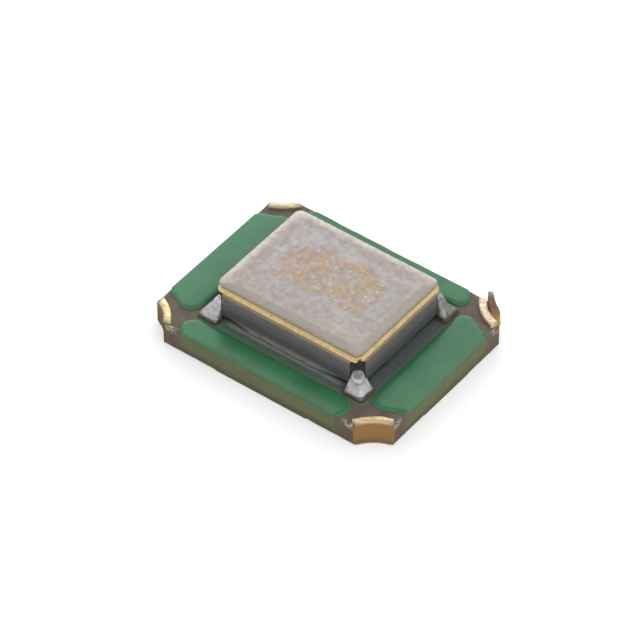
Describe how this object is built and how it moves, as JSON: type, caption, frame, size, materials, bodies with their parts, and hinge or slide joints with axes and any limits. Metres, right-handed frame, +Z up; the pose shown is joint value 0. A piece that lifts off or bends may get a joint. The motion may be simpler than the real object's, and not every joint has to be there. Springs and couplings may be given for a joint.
{
  "type": "crystal oscillator",
  "caption": "Surface mount crystal oscillator: a dark ceramic package with a seam welded nickel lid, soldered to a green carrier board with gold plated concave corner terminals.",
  "frame": {"origin": "middle of the plane that the four lands rest on", "axes": "+X along the board's long side, +Y along its short side, +Z up out of the lid"},
  "size_m": [0.0032, 0.0024, 0.0008],
  "materials": {
    "laminate": "cut glass and epoxy laminate",
    "solder_mask": "glossy green film",
    "gold_plate": "thin gold over nickel and copper",
    "solder": "reflowed, bright",
    "ceramic": "matte, co-fired",
    "package_gold": "gold over tungsten",
    "ring_gold": "gold over a nickel iron ring",
    "nickel": "satin nickel plate",
    "silver_adhesive": "cured silver filled silicone",
    "quartz": "polished",
    "electrode": "evaporated film",
    "silicon": "ground silicon"
  },
  "bodies": {
    "root": {"board_core": "laminate", "top_mask": "solder_mask", "bottom_mask": "solder_mask", "corner_terminal_1": "gold_plate", "corner_terminal_2": "gold_plate", "corner_terminal_3": "gold_plate", "corner_terminal_4": "gold_plate", "board_pad_1": "gold_plate", "board_pad_2": "gold_plate", "board_pad_3": "gold_plate", "board_pad_4": "gold_plate", "solder_joint_1": "solder", "solder_joint_2": "solder", "solder_joint_3": "solder", "solder_joint_4": "solder", "ceramic_body": "ceramic", "package_terminal_1": "package_gold", "package_terminal_2": "package_gold", "package_terminal_3": "package_gold", "package_terminal_4": "package_gold", "seal_metal": "package_gold", "seal_ring": "ring_gold", "lid": "nickel", "crystal_track_1": "package_gold", "crystal_track_2": "package_gold", "adhesive_1": "silver_adhesive", "adhesive_2": "silver_adhesive", "quartz_blank": "quartz", "electrode_top": "electrode", "electrode_bottom": "electrode", "ic_die": "silicon", "ic_bumps": "package_gold"}
  },
  "joints": []
}
